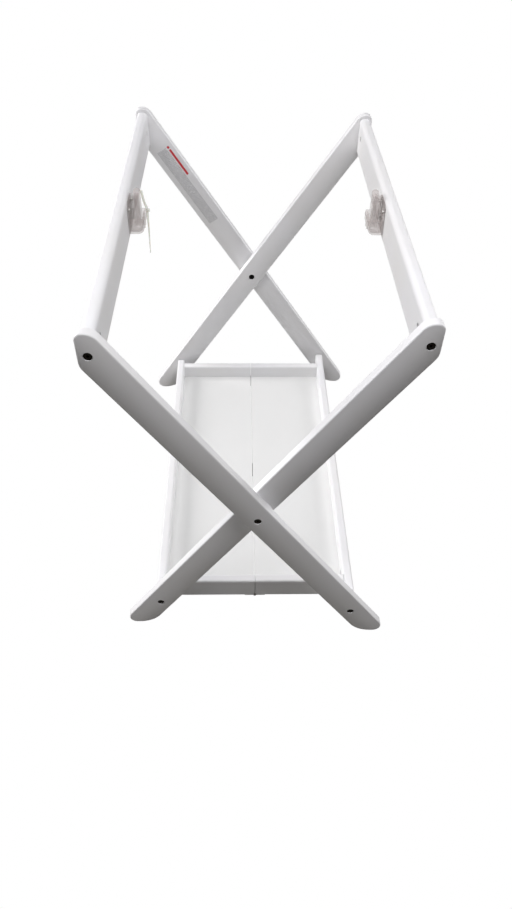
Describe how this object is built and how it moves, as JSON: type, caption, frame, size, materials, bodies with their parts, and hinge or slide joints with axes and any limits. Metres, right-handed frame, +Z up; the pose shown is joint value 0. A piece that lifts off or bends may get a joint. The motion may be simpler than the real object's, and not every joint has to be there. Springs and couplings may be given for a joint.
{
  "type": "folding basket stand",
  "caption": "White painted folding X-frame stand for a baby basket, with two top rails, clear hooks and a two-part folding tray between the feet.",
  "frame": {"origin": "on the floor, at the centre of the stand", "axes": "+Z up, +Y from the front outer leg to the back one, along the rails, +X to the right seen from the front"},
  "size_m": [0.495, 0.795, 0.7115],
  "materials": {
    "painted_wood": "satin white paint",
    "painted_panel": "satin white paint on thin board",
    "bare_wood": "bare",
    "dark_bolts": "dark bronze plating",
    "plated_steel": "zinc plated",
    "clear_plastic": "clear moulded",
    "white_nylon": "natural white"
  },
  "bodies": {
    "outer_frame": {"outer_leg_front": "painted_wood", "outer_leg_back": "painted_wood", "top_rail_left": "painted_wood", "rail_bolts_left": "dark_bolts", "rail_barrel_nuts_left": "dark_bolts", "rail_dowels_left": "bare_wood", "crossing_bolts": "dark_bolts", "crossing_sleeve_nuts": "dark_bolts", "crossing_spacers": "painted_wood", "clear_hook_left": "clear_plastic", "hook_screws_left": "plated_steel", "hook_tie": "white_nylon"},
    "inner_frame": {"inner_leg_front": "painted_wood", "inner_leg_back": "painted_wood", "top_rail_right": "painted_wood", "rail_bolts_right": "dark_bolts", "rail_barrel_nuts_right": "dark_bolts", "rail_dowels_right": "bare_wood", "clear_hook_right": "clear_plastic", "hook_screws_right": "plated_steel", "tray_bolts_left": "dark_bolts", "tray_washers_left": "white_nylon"},
    "tray_right": {"tray_side_rail_right": "painted_wood", "tray_end_rail_front_right": "painted_wood", "tray_end_rail_back_right": "painted_wood", "tray_floor_right": "painted_panel", "tray_batten_right": "painted_wood", "tray_bolts_right": "dark_bolts", "tray_barrel_nuts_right": "dark_bolts", "tray_washers_right": "white_nylon", "hinge_leaves_right": "plated_steel", "hinge_pins": "plated_steel", "hinge_screws_right": "plated_steel"},
    "tray_left": {"tray_side_rail_left": "painted_wood", "tray_end_rail_front_left": "painted_wood", "tray_end_rail_back_left": "painted_wood", "tray_floor_left": "painted_panel", "tray_batten_left": "painted_wood", "tray_barrel_nuts_left": "dark_bolts", "hinge_leaves_left": "plated_steel", "hinge_screws_left": "plated_steel"}
  },
  "joints": [
    {"name": "fold", "type": "hinge", "parent": "outer_frame", "child": "inner_frame", "pos_m": [0, 0, 0.3385], "axis": [0, -1, 0], "range_deg": [0, 54]},
    {"name": "tray_right_tilt", "type": "hinge", "parent": "outer_frame", "child": "tray_right", "pos_m": [0.18174, 0, 0.06906], "axis": [0, 1, 0], "range_deg": [0, 57.44]},
    {"name": "tray_split_hinge", "type": "hinge", "parent": "tray_right", "child": "tray_left", "pos_m": [0, 0, 0.047], "axis": [0, -1, 0], "range_deg": [0, 168.86]}
  ],
  "couplings": [
    {"joint": "tray_right_tilt", "follows": "fold", "ratio": 1.0635},
    {"joint": "tray_split_hinge", "follows": "fold", "ratio": 3.1269}
  ]
}
